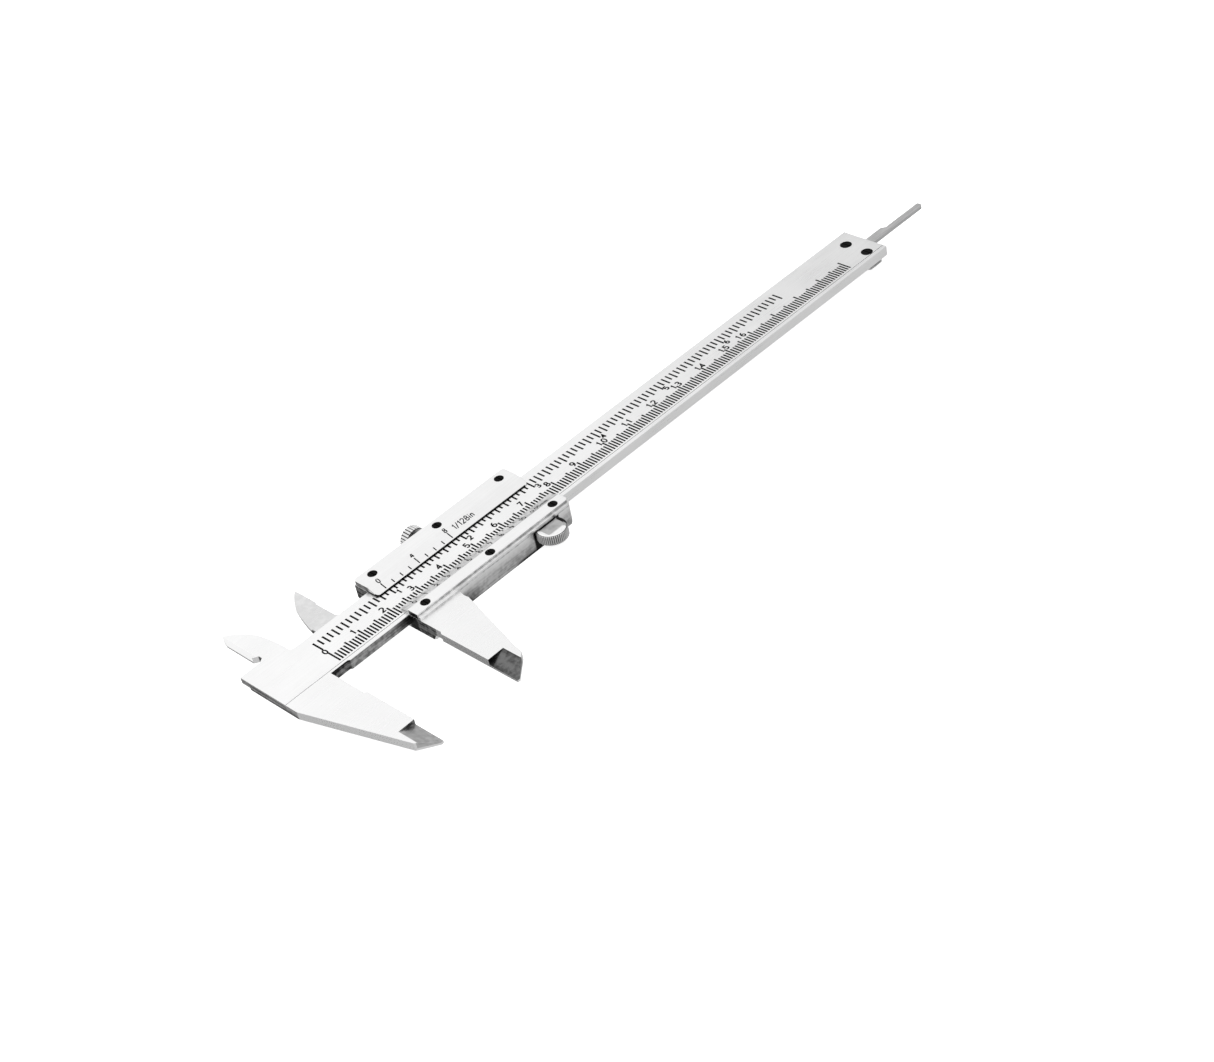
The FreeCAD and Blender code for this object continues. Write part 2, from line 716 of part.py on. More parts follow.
def make_gib_strip():
    """Thin bearing strip between the beam's upper edge and the slider."""
    body = new_body("gib_strip", on_slider=True)
    strip = rectangle(body, "GibOutline", "XY_Plane",
                      (gib_start + gib_gap, beam_width + gib_gap),
                      (gib_start + gib_long - gib_gap, beam_width + gib_gap + gib_thick),
                      -gib_gap)
    pad(body, strip, beam_thick - gib_gap * 2, backwards=True)
    dress(body, "Chamfer", 0.2, along_x, lambda p: near(p.y, beam_width + gib_gap + gib_thick))
    return body


def make_lock_screw():
    """Knurled locking screw, turned about an axis along Y."""
    body = new_body("lock_screw", on_slider=True)
    tip = beam_width + gib_gap + gib_thick + screw_gap
    neck = slider_high + slide_gap * 2
    head = neck + lock_neck_long
    top = head + lock_head_long
    profile = outline(body, "LockProfile", "YZ_Plane", [
        (tip, -mid_thick),
        (tip, -mid_thick + lock_shank - lock_edge),
        (tip + lock_edge, -mid_thick + lock_shank),
        (neck, -mid_thick + lock_shank),
        (neck, -mid_thick + lock_neck),
        (head, -mid_thick + lock_neck),
        (head, -mid_thick + lock_head - lock_edge),
        (head + lock_edge, -mid_thick + lock_head),
        (top - lock_edge, -mid_thick + lock_head),
        (top, -mid_thick + lock_head - lock_edge),
        (top, -mid_thick + lock_dish),
        (top - lock_dish_deep, -mid_thick + lock_dish - lock_dish_deep),
        (top - lock_dish_deep, -mid_thick),
    ], lock_along)
    turned = body.newObject("PartDesign::Revolution", "LockTurned")
    turned.Profile = profile
    turned.ReferenceAxis = (profile, ["Edge13"])
    turned.Angle = 360.0
    doc.recompute()
    knurl(body, "LockKnurl", "XZ_Plane", (lock_along, -mid_thick), lock_head, lock_knurl_deep,
          -head, lock_head_long, lock_teeth)


def knurl(body, name, role, centre, radius, depth, offset, length, teeth):
    """A V-groove along a round rim, repeated all the way round it."""
    notch = outline(body, name + "Notch", role, [
        (zero, radius - depth),
        (depth * 1.1, radius + depth * 0.2),
        (-depth * 1.1, radius + depth * 0.2),
    ], offset, centre)
    groove = pocket(body, notch, length)
    ring = body.newObject("PartDesign::PolarPattern", name + "Ring")
    ring.Originals = [groove]
    ring.Axis = (notch, ["N_Axis"])
    ring.Angle = 360.0
    ring.setExpression("Occurrences", teeth.text)
    body.Tip = ring
    doc.recompute()


def make_thumb_rest():
    """Knurled round thumb rest, let into a round seat in the slider and held by a pin."""
    body = new_body("thumb_rest", on_slider=True)
    disc = circles(body, "ThumbDisc", "XY_Plane", [(thumb_along, -thumb_out)], thumb_radius,
                   zero)
    disc_pad = pad(body, disc, thumb_thick, backwards=True)
    top_rim = [f"Edge{index}" for index, edge in enumerate(disc_pad.Shape.Edges, start=1)
               if edge.isClosed() and near(edge.CenterOfMass.z, zero)]
    rim = body.newObject("PartDesign::Chamfer", "ThumbRim")
    rim.Base = (disc_pad, top_rim)
    rim.setExpression("Size", thumb_chamfer.text)
    doc.recompute()
    dish = circles(body, "ThumbDish", "XY_Plane", [(thumb_along, -thumb_out)], thumb_dish)
    pocket(body, dish, thumb_dish_deep)
    knurl(body, "ThumbKnurl", "XY_Plane", (thumb_along, -thumb_out), thumb_radius,
          thumb_knurl_deep, zero, thumb_thick, thumb_teeth)
    pin_places = [(thumb_along, -thumb_out + thumb_pin_in)]
    pocket(body, circles(body, "ThumbPinHole", "XY_Plane", pin_places,
                         thumb_pin_radius + screw_gap), thumb_thick + 1)
    return body


def make_depth_rod():
    """Flat rod in the beam's rear groove, pinned to the slider, with a narrowed tip."""
    body = new_body("depth_rod", on_slider=True)
    low = beam_middle - rod_wide / 2
    high = beam_middle + rod_wide / 2
    rod = outline(body, "RodOutline", "XY_Plane", [
        (rod_inner, low),
        (beam_end - 0.5, low),
        (beam_end, low + 0.5),
        (beam_end, low + rod_step_wide - 0.3),
        (beam_end - 0.3, low + rod_step_wide),
        (beam_end - rod_step_long, low + rod_step_wide),
        (beam_end - rod_step_long - 1.2, high),
        (rod_inner, high),
    ], -rod_back)
    pad(body, rod, rod_thick)
    places = [(rod_pin_first + rod_pin_pitch * step, beam_middle) for step in range(2)]
    pocket(body, circles(body, "RodHoles", "XY_Plane", places, rod_pin_radius + screw_gap),
           beam_thick)
    return body


def make_end_stop_plate():
    """Plate behind the beam's end that stops the slider and covers the groove's mouth."""
    body = new_body("end_stop_plate")
    plate = rectangle(body, "StopOutline", "XY_Plane",
                      (stop_start, stop_inset), (stop_start + stop_long, beam_width - stop_inset),
                      -beam_thick - stop_thick)
    pad(body, plate, stop_thick)
    places = [(stop_screw_along, stop_screw_low), (stop_screw_along, stop_screw_high)]
    pocket(body, circles(body, "StopPlateHoles", "XY_Plane", places, screw_shank + screw_gap),
           beam_thick + stop_thick + 1)
    dress(body, "Fillet", stop_corner, along_z, lambda p: True)
    return body


make_main_beam()
make_end_stop_plate()
make_screw_group("end_stop_screws",
                 [(stop_screw_along, stop_screw_low), (stop_screw_along, stop_screw_high)],
                 stop_screw_head, zero, beam_thick + stop_thick, on_slider=False)
make_slider_frame()
make_upper_vernier_plate()
make_lower_vernier_plate()
plate_screws = [screw_start + screw_pitch * step for step in range(3)]
make_screw_group("upper_plate_screws", [(x, upper_screw_up) for x in plate_screws],
                 screw_head, plate_top, screw_long, on_slider=True)
make_screw_group("lower_plate_screws", [(x, -lower_screw_down) for x in plate_screws],
                 screw_head, plate_top, screw_long, on_slider=True)
make_gib_strip()
make_gib_screws()
make_lock_screw()
make_thumb_rest()
make_pin_group("thumb_rest_pin", [(thumb_along, -thumb_out + thumb_pin_in)],
               thumb_pin_radius, -slider_back, slider_back - 0.2, on_slider=True)
make_depth_rod()
make_pin_group("depth_rod_pins",
               [(rod_pin_first + rod_pin_pitch * step, beam_middle) for step in range(2)],
               rod_pin_radius, -slider_back, slider_back - rod_front - 0.1, on_slider=True)
doc.recompute()

for item in doc.Objects:
    if "Invalid" in item.State or "Error" in item.State:
        raise RuntimeError(f"{item.Label} failed: {item.State}")
for piece in parts:
    if piece.Shape.isNull() or not piece.Shape.isValid():
        raise RuntimeError(f"{piece.Label} has no valid shape")

os.makedirs("parts", exist_ok=True)
for piece in parts:
    piece.Shape.exportStep(f"parts/{piece.Label}.step")
    box = piece.Shape.BoundBox
    print(f"{piece.Label}: {len(piece.Shape.Solids)} solids, {piece.Shape.Volume:.1f} mm3, "
          f"x {box.XMin:.2f}..{box.XMax:.2f}, y {box.YMin:.2f}..{box.YMax:.2f}, "
          f"z {box.ZMin:.2f}..{box.ZMax:.2f}")
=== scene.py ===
import json
import math

import bmesh
import bpy
from mathutils import Matrix, Vector


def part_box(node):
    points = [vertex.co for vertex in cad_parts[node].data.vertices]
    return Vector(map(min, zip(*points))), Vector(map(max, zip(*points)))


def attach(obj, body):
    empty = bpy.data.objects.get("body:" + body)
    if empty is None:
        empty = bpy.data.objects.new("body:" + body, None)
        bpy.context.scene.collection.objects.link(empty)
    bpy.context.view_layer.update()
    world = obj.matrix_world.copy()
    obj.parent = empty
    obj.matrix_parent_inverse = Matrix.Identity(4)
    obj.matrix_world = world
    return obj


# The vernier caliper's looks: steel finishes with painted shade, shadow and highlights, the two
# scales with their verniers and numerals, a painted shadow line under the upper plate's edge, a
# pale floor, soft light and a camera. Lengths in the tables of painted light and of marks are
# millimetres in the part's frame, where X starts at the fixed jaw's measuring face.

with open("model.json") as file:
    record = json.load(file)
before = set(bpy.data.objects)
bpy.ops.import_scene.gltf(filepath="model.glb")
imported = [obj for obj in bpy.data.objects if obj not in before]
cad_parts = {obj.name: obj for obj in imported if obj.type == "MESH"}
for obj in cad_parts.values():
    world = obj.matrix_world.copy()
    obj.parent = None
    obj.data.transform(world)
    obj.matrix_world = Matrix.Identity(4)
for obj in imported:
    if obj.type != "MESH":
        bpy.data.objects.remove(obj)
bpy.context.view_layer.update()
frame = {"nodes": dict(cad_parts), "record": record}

MM = 0.001
beam_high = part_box("main_beam")[1]
plate_low, plate_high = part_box("upper_vernier_plate")
lower_low, lower_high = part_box("lower_vernier_plate")
slider_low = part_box("slider_frame")[0]

# Height of the engraved face, the beam's lower edge, the opening at rest and the scales' zero.
FACE_Z = beam_high.z / MM
BEAM_Y = 20.0
READING = frame["record"]["mounts"][1]["pos_m"][0] / MM
SCALE_START = 3.95
INCH = 25.4


# ---------------------------------------------------------------- materials

# How strongly each finer layer of a texture counts.
NOISE_ROUGH = 0.55


class Graph:
    """Short calls for building one node tree."""

    def __init__(self, tree):
        self.tree = tree
        tree.nodes.clear()

    def add(self, kind, **values):
        node = self.tree.nodes.new(kind)
        for name, value in values.items():
            setattr(node, name, value)
        return node

    def link(self, source, target):
        self.tree.links.new(source, target)

    def feed(self, node, socket, value):
        """Set a socket to a number, or link another node's output to it."""
        if isinstance(value, bpy.types.NodeSocket):
            self.link(value, node.inputs[socket])
        else:
            node.inputs[socket].default_value = value

    def math(self, operation, first, second=0.0):
        node = self.add("ShaderNodeMath", operation=operation)
        self.feed(node, 0, first)
        self.feed(node, 1, second)
        return node.outputs[0]

    def spread(self, value, low, high, to_low=0.0, to_high=1.0):
        """Map a range of a value to another range, with soft ends."""
        node = self.add("ShaderNodeMapRange", interpolation_type="SMOOTHSTEP")
        for socket, number in enumerate((value, low, high, to_low, to_high)):
            self.feed(node, socket, number)
        return node.outputs[0]

    def blend(self, factor, first, second):
        node = self.add("ShaderNodeMix", data_type="RGBA")
        self.feed(node, 0, factor)
        self.feed(node, 6, first)
        self.feed(node, 7, second)
        return node.outputs[2]

    def noise(self, place, stretch, detail=3.0, offset=(0.0, 0.0, 0.0)):
        mapping = self.add("ShaderNodeMapping")
        mapping.inputs["Scale"].default_value = stretch
        mapping.inputs["Location"].default_value = offset
        self.link(place, mapping.inputs["Vector"])
        node = self.add("ShaderNodeTexNoise")
        node.inputs["Scale"].default_value = 1.0
        node.inputs["Detail"].default_value = detail
        node.inputs["Roughness"].default_value = NOISE_ROUGH
        self.link(mapping.outputs["Vector"], node.inputs["Vector"])
        return node.outputs["Fac"]


def grey(level):
    return (level, level, level, 1.0)


def swing(level, share):
    """A darker and a lighter grey either side of a level."""
    return grey(level * (1 - share)), grey(min(1.0, level * (1 + share)))


# Rays of the edge test, and how well the two normals agree on a full edge and off it.
EDGE_SAMPLES = 6
EDGE_TURNED = 0.75
EDGE_FLAT = 0.995
# Soft border of a ring, in millimetres.
RING_SOFT = 0.06
# Scales of the textures, in cycles per metre along X, Y and Z.
CLOUDS = (55, 55, 55)
SPECKS = (5200, 5200, 5200)
SCRATCHES = (120, 3400, 900)
STREAKS = (60, 60, 1500)
BLOTCHES = (700, 700, 700)
# Depth of the grain in metres, and of the scratches as a share of it.
GRAIN_DEEP = 0.00003
SCRATCH_SHARE = 0.5
# How much each texture counts in a metal's tone, in its colour and in the tone of a box of painted
# light.
LINES_IN_TONE = 0.45
CLOUDS_IN_TONE = 0.55
PITS_IN_COLOUR = 0.35
WEAR_AND_SHEEN_IN_COLOUR = 0.6
STREAKS_IN_PAINTED_LIGHT = 0.5
BLOTCHES_IN_PAINTED_LIGHT = 0.5
# Ranges of the textures that make the tone, the pits, the patches in a box of painted light, the
# gloss of the lines and the scratches.
TONE_RANGE = (0.36, 0.64)
PIT_RANGE = (0.70, 0.80)
PATCH_RANGE = (0.38, 0.62)
LINE_RANGE = (0.3, 0.7)
SCRATCH_RANGE = (0.66, 0.74)
# Grey of a pit beside the dark tone, of a worn edge with its painted sheen beside the light one,
# and a ring's swing.
PIT_TONE = 0.7
WEAR_AND_SHEEN_TONE = 1.1
RING_SWING = 0.2
# How far the lines take the roughness below and above its middle.
SMOOTHER = 0.05
ROUGHER = 0.06
# How much the clouds, the scratches and the worn edges change the roughness.
CLOUDS_IN_GLOSS = 0.16
SCRATCHES_IN_GLOSS = 0.06
WEAR_IN_GLOSS = 0.08


def edge_mask(graph, radius):
    """The rounded-edge normal, and how far it turns from the face's own normal."""
    rounded = graph.add("ShaderNodeBevel", samples=EDGE_SAMPLES)
    rounded.inputs["Radius"].default_value = radius
    geometry = graph.add("ShaderNodeNewGeometry")
    agree = graph.add("ShaderNodeVectorMath", operation="DOT_PRODUCT")
    graph.link(rounded.outputs["Normal"], agree.inputs[0])
    graph.link(geometry.outputs["Normal"], agree.inputs[1])
    edge_wear_and_sheen = graph.spread(agree.outputs["Value"], EDGE_TURNED, EDGE_FLAT, 1.0, 0.0)
    return rounded.outputs["Normal"], edge_wear_and_sheen


def inside_box(graph, place, low, high, soft):
    """1 inside a box in the part's frame and 0 outside it, with a soft edge along each axis."""
    axes = graph.add("ShaderNodeSeparateXYZ")
    graph.link(place, axes.inputs[0])
    inside = 1.0
    for axis, (start, end, edge) in enumerate(zip(low, high, soft)):
        away = graph.math("SUBTRACT", axes.outputs[axis], (start + end) / 2 * MM)
        half = (end - start) / 2 * MM
        share = graph.spread(graph.math("ABSOLUTE", away), half, half + edge * MM, 1.0, 0.0)
        inside = graph.math("MULTIPLY", inside, share)
    return inside


def around_axis(graph, place, axis, centre, start, end):
    """1 between two distances in millimetres from an axis along X, Y or Z, 0 elsewhere."""
    offset = graph.add("ShaderNodeVectorMath", operation="SUBTRACT")
    graph.link(place, offset.inputs[0])
    offset.inputs[1].default_value = centre
    flat = graph.add("ShaderNodeVectorMath", operation="MULTIPLY")
    graph.link(offset.outputs["Vector"], flat.inputs[0])
    flat.inputs[1].default_value = [0.0 if name == axis else 1.0 for name in "XYZ"]
    reach = graph.add("ShaderNodeVectorMath", operation="LENGTH")
    graph.link(flat.outputs["Vector"], reach.inputs[0])
    away = graph.math("SUBTRACT", reach.outputs["Value"], (start + end) / 2 * MM)
    half = (end - start) / 2 * MM
    return graph.spread(graph.math("ABSOLUTE", away), half, half + RING_SOFT * MM, 1.0, 0.0)


def metal(name, dark, light, rough, grain, edge_radius, bump, metallic=1.0, specular=0.5,
          painted_light_boxes=(), painted_light_rings=()):
    """Ground or knurled metal: grain lines, cloudy tone, fine specks, and worn edges lightened as
    wear and as a painted sheen. Boxes and rings of painted shade, shadow, reflection and
    highlight, rows of the tables below, are laid over that one after another."""
    material = bpy.data.materials.new(name)
    material.use_nodes = True
    graph = Graph(material.node_tree)
    place = graph.add("ShaderNodeTexCoord").outputs["Object"]
    lines = graph.noise(place, grain, detail=5.0)
    clouds = graph.noise(place, CLOUDS, detail=3.0, offset=(3.1, 1.7, 0.4))
    specks = graph.noise(place, SPECKS, detail=1.0)
    scratch = graph.noise(place, SCRATCHES, detail=2.0, offset=(0.0, 9.0, 2.0))
    normal, edge_wear_and_sheen = edge_mask(graph, edge_radius)

    tone = graph.math("ADD", graph.math("MULTIPLY", lines, LINES_IN_TONE),
                      graph.math("MULTIPLY", clouds, CLOUDS_IN_TONE))
    colour = graph.blend(graph.spread(tone, *TONE_RANGE), dark, light)
    pits = graph.spread(specks, *PIT_RANGE)
    colour = graph.blend(graph.math("MULTIPLY", pits, PITS_IN_COLOUR), colour,
                         grey(dark[1] * PIT_TONE))
    # Edges are lightened both as wear and as a painted sheen.
    colour = graph.blend(graph.math("MULTIPLY", edge_wear_and_sheen, WEAR_AND_SHEEN_IN_COLOUR), colour,
                         grey(min(1.0, light[1] * WEAR_AND_SHEEN_TONE)))

    streaks = graph.noise(place, STREAKS, detail=3.0, offset=(0.7, 2.0, 5.0))
    blotches = graph.noise(place, BLOTCHES, detail=3.0, offset=(5.0, 2.0, 1.0))
    patchy = graph.math("ADD", graph.math("MULTIPLY", streaks, STREAKS_IN_PAINTED_LIGHT),
                        graph.math("MULTIPLY", blotches, BLOTCHES_IN_PAINTED_LIGHT))
    # Each box and ring lays painted shade, shadow, reflection or highlight into the colour.
    for low, high, soft, level, contrast in painted_light_boxes:
        painted_grey = graph.blend(graph.spread(patchy, *PATCH_RANGE), *swing(level, contrast))
        colour = graph.blend(inside_box(graph, place, low, high, soft), colour, painted_grey)
    for axis, centre, start, end, level in painted_light_rings:
        band = graph.blend(blotches, *swing(level, RING_SWING))
        colour = graph.blend(around_axis(graph, place, axis, centre, start, end), colour, band)

    gloss = graph.spread(lines, *LINE_RANGE, rough - SMOOTHER, rough + ROUGHER)
    cloudy = graph.math("SUBTRACT", clouds, 0.5)
    gloss = graph.math("ADD", gloss, graph.math("MULTIPLY", cloudy, CLOUDS_IN_GLOSS))
    marks = graph.spread(scratch, *SCRATCH_RANGE)
    gloss = graph.math("ADD", gloss, graph.math("MULTIPLY", marks, SCRATCHES_IN_GLOSS))
    gloss = graph.math("SUBTRACT", gloss, graph.math("MULTIPLY", edge_wear_and_sheen, WEAR_IN_GLOSS))

    height = graph.math("SUBTRACT", lines, graph.math("MULTIPLY", marks, SCRATCH_SHARE))
    relief = graph.add("ShaderNodeBump")
    relief.inputs["Strength"].default_value = bump
    relief.inputs["Distance"].default_value = GRAIN_DEEP
    graph.link(height, relief.inputs["Height"])
    graph.link(normal, relief.inputs["Normal"])

    shader = graph.add("ShaderNodeBsdfPrincipled")
    shader.inputs["Metallic"].default_value = metallic
    shader.inputs["Specular IOR Level"].default_value = specular
    graph.link(colour, shader.inputs["Base Color"])
    graph.link(gloss, shader.inputs["Roughness"])
    graph.link(relief.outputs["Normal"], shader.inputs["Normal"])
    output = graph.add("ShaderNodeOutputMaterial")
    graph.link(shader.outputs["BSDF"], output.inputs["Surface"])
    return material


FINE = (70, 2600, 2600)
THIN = (0.02, 0.02, 0.02)

# A box of painted light is a box in which the surface takes a grey set by comparison with the
# photograph, mostly as painted shade, shadow, reflection or highlight: lowest corner, highest
# corner, soft border along each axis, level, contrast. A ring does the same round an axis:
# axis, centre, inner and outer radius, level.
BEAM_PAINTED_SHADE = (
    # The undercut painted darker, with a painted shadow line along its upper edge, painted shade
    # on the beam's lower edge beside it, and a painted shadow where the slider's jaw stands at
    # rest, which stays on the beam when the slider moves.
    ((-0.8, 19.9, -1.6), (5.42, 20.55, 1.30), THIN, 0.16, 0.9),
    ((-0.8, 19.9, 1.02), (5.42, 20.55, 1.44), THIN, 0.03, 0.7),
    ((5.42, 19.9, -1.6), (24.0, 20.06, 1.30), (12.0, 0.02, 0.12), 0.36, 0.45),
    ((22.6, 19.9, -1.6), (25.6, 20.06, 1.20), (2.5, 0.02, 0.12), 0.11, 0.5),
    # Left end of the head: painted shade, with two darker painted reflection bands.
    ((-15.1, 19.0, -1.6), (-14.95, 39.4, 1.42), (0.02, 3.0, 0.02), 0.66, 0.3),
    ((-15.1, 23.0, 0.45), (-14.95, 34.0, 0.75), (0.02, 3.0, 0.25), 0.22, 0.7),
    ((-15.1, 18.0, -1.1), (-14.95, 36.0, -0.55), (0.02, 3.0, 0.3), 0.22, 0.7),
    # Painted shadow in the notch at the foot of the inside jaw.
    ((-7.7, 40.0, -1.0), (-6.9, 41.6, 1.30), (0.2, 0.05, 0.05), 0.14, 0.6),
    # Painted shade on the knife's face and on the step above it.
    ((-5.4, -20.1, -0.3), (0.1, -9.96, 1.47), THIN, 0.58, 0.14),
    ((-5.4, -10.06, -1.6), (0.1, -9.94, 1.47), THIN, 0.20, 0.8),
)
SLIDER_PAINTED_SHADE = (
    # Lower side: painted shade, darker towards the back and beside the jaw, and a painted shadow
    # of the thumb rest.
    ((25.0, 15.3, -4.3), (80.3, 15.5, -2.6), (0.1, 0.05, 5.0), 0.46, 0.30),
    ((36.0, 15.3, -4.3), (42.0, 15.5, -2.6), (4.5, 0.05, 3.6), 0.20, 0.5),
    ((61.0, 15.3, -4.3), (66.5, 15.5, -3.9), (5.0, 0.05, 1.1), 0.03, 0.5),
    # Tool mark along the side, and the lip's top beside the plate.
    ((25.0, 15.3, 1.55), (80.3, 15.5, 1.85), (0.1, 0.05, 0.15), 0.66, 0.3),
    ((25.0, 15.3, 2.42), (80.3, 16.45, 2.58), THIN, 0.80, 0.12),
    # Shadowed seat of the thumb rest.
    ((66.0, 15.3, -4.3), (74.9, 15.5, 1.55), (0.6, 0.05, 0.10), 0.008, 0.6),
    # Painted shade on the end of the jaw's root, on the knife's face and on the step above it.
    ((25.4, 10.0, -4.3), (25.6, 19.9, 1.44), THIN, 0.22, 0.9),
    ((25.4, 17.6, -4.3), (25.6, 19.9, 1.44), (0.02, 1.2, 0.02), 0.02, 0.9),
    ((25.4, 7.5, -4.3), (25.6, 9.2, -1.2), (0.02, 0.4, 0.3), 0.01, 0.9),
    ((24.9, -20.1, -0.3), (30.4, -9.96, 1.47), THIN, 0.115, 0.5),
    ((24.9, -10.06, -1.6), (31.0, -9.94, 1.47), THIN, 0.02, 0.7),
    # Painted shade on the left end of the upper rail, on the inside jaw's front and on the arm
    # behind it, and a painted shadow at the jaw's foot.
    ((25.4, 35.9, -4.3), (25.6, 41.5, 1.40), THIN, 0.26, 0.9),
    ((5.0, 38.3, -1.2), (17.2, 57.0, -0.3), (0.05, 0.05, 0.05), 0.76, 0.06),
    ((7.4, 37.8, -1.2), (8.4, 39.2, -0.3), (0.6, 0.8, 0.05), 0.05, 0.6),
    ((16.4, 37.9, -1.6), (25.4, 38.4, -0.3), (0.2, 0.05, 0.05), 0.60, 0.3),
)
PLATE_PAINTED_SHADE = (
    # Painted shade on the left end of both plates, with a painted contact shadow where they meet
    # the beam.
    ((25.4, 16.0, 1.5), (25.6, 41.5, 3.02), THIN, 0.40, 0.8),
    ((25.4, 16.0, 1.5), (25.6, 20.4, 3.02), (0.02, 0.6, 0.02), 0.02, 0.9),
    ((25.4, 16.0, 1.5), (25.6, 23.8, 2.05), (0.5, 0.02, 0.15), 0.003, 0.5),
    ((25.4, 31.8, 1.5), (26.7, 33.0, 1.80), THIN, 0.002, 0.5),
    ((25.4, 31.8, 1.5), (25.6, 36.4, 1.95), (0.02, 0.02, 0.10), 0.002, 0.5),
    # Painted shade on the lower plate's outer side and on its graduated bevel.
    ((25.3, 16.2, 2.0), (80.3, 16.45, 3.02), THIN, 0.62, 0.3),
    ((25.3, 19.95, 1.5), (80.3, 23.8, 3.06), (0.05, 0.25, 0.02), 0.66, 0.22),
)
thumb_low, thumb_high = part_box("thumb_rest")
THUMB = ((thumb_low.x + thumb_high.x) / 2, (thumb_low.y + thumb_high.y) / 2, 0.0)
THUMB_RADIUS = (thumb_high.x - thumb_low.x) / 2 / MM
lock_low, lock_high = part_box("lock_screw")
LOCK = ((lock_low.x + lock_high.x) / 2, 0.0, (lock_low.z + lock_high.z) / 2)
LOCK_RADIUS = (lock_high.x - lock_low.x) / 2 / MM

# Painted shade on the stop plate's lower edge, which shows below the beam.
STOP_PAINTED_SHADE = (((210.5, 20.2, -2.7), (216.8, 20.45, -1.45), THIN, 0.40, 0.4),)
# The thumb rest has a painted highlight on its front edge, painted shade on its right edge, and
# a painted shadow where it is let into the slider.
THUMB_PAINTED_LIGHT = (
    ((66.0, 8.0, 1.12), (72.6, 11.0, 1.6), (0.5, 0.9, 0.05), 1.0, 0.0),
    ((66.0, 8.0, 1.12), (67.6, 14.6, 1.6), (0.4, 0.3, 0.05), 1.0, 0.0),
    ((73.9, 11.0, 0.95), (75.2, 15.2, 1.6), (0.3, 0.6, 0.05), 0.02, 0.5),
    ((66.0, 15.10, -1.6), (75.2, 18.0, 1.6), THIN, 0.004, 0.5),
)
# Painted shadow line and painted highlight round the rim of the thumb rest's top.
THUMB_PAINTED_RINGS = (
    ("Z", THUMB, THUMB_RADIUS - 0.22, THUMB_RADIUS - 0.16, 0.02),
    ("Z", THUMB, THUMB_RADIUS - 0.07, THUMB_RADIUS + 0.10, 0.62),
)
# Painted shade in a ring on the lock knob, and a painted shadow on its neck and centre.
LOCK_PAINTED_SHADE_RINGS = (
    ("Y", LOCK, LOCK_RADIUS - 0.36, LOCK_RADIUS - 0.20, 0.08),
    ("Y", LOCK, 0.0, LOCK_RADIUS - 1.5, 0.02),
)

# Each finish below carries its own table of painted shade, shadow and highlight over the steel.
beam_steel = metal("satin_steel", dark=grey(0.90), light=grey(0.96), rough=0.32, grain=FINE,
                   edge_radius=0.00014, bump=0.08, painted_light_boxes=BEAM_PAINTED_SHADE)
slider_steel = metal("slider_steel", dark=grey(0.90), light=grey(0.96), rough=0.32, grain=FINE,
                     edge_radius=0.00014, bump=0.08, painted_light_boxes=SLIDER_PAINTED_SHADE)
plated = metal("plate_steel", dark=grey(0.90), light=grey(0.96), rough=0.36,
               grain=(90, 2200, 2200), edge_radius=0.00012, bump=0.08, painted_light_boxes=PLATE_PAINTED_SHADE)
dull = metal("dull_steel", dark=grey(0.48), light=grey(0.64), rough=0.42,
             grain=(160, 1800, 1800), edge_radius=0.00012, bump=0.3, painted_light_boxes=STOP_PAINTED_SHADE)
thumb_steel = metal("thumb_steel", dark=grey(0.34), light=grey(0.56), rough=0.34,
                    grain=(600, 600, 600), edge_radius=0.00008, bump=0.3,
                    painted_light_boxes=THUMB_PAINTED_LIGHT, painted_light_rings=THUMB_PAINTED_RINGS)
knurled = metal("knurled_steel", dark=grey(0.70), light=grey(0.95), rough=0.30,
                grain=(900, 900, 900), edge_radius=0.00008, bump=0.25, painted_light_rings=LOCK_PAINTED_SHADE_RINGS)
blackened = metal("black_screw", dark=grey(0.001), light=grey(0.005), rough=0.5,
                  grain=(1500, 1500, 1500), edge_radius=0.00008, bump=0.35,
                  metallic=0.0, specular=0.05)
bronze = metal("bronze", dark=(0.50, 0.34, 0.15, 1), light=(0.68, 0.49, 0.24, 1), rough=0.36,
               grain=(90, 2600, 2600), edge_radius=0.00008, bump=0.2)
ink = metal("scale_black", dark=grey(0.002), light=grey(0.006), rough=0.62,
            grain=(2600, 2600, 2600), edge_radius=0.00003, bump=0.3,
            metallic=0.0, specular=0.05)
MATERIALS = {"satin_steel": beam_steel, "plate_steel": plated, "dull_steel": dull,
             "knurled_steel": knurled, "black_screw": blackened, "bronze": bronze}
# The slider and the thumb rest take materials of their own for their painted shade and highlights.
OWN_MATERIALS = {"slider_frame": slider_steel, "thumb_rest": thumb_steel}

for part in frame["record"]["subparts"]:
    node = frame["nodes"][part["node"]]
    node.data.materials.clear()
    node.data.materials.append(OWN_MATERIALS.get(part["node"], MATERIALS[part["material_slot"]]))


# ---------------------------------------------------------------- engraved marks and a painted shadow line

def arc(cx, cy, rx, ry, start, end, steps=14):
    """Points on an ellipse from a start to an end angle in degrees."""
    points = []
    for step in range(steps + 1):
        angle = math.radians(start + (end - start) * step / steps)
        points.append((cx + rx * math.cos(angle), cy + ry * math.sin(angle)))
    return points


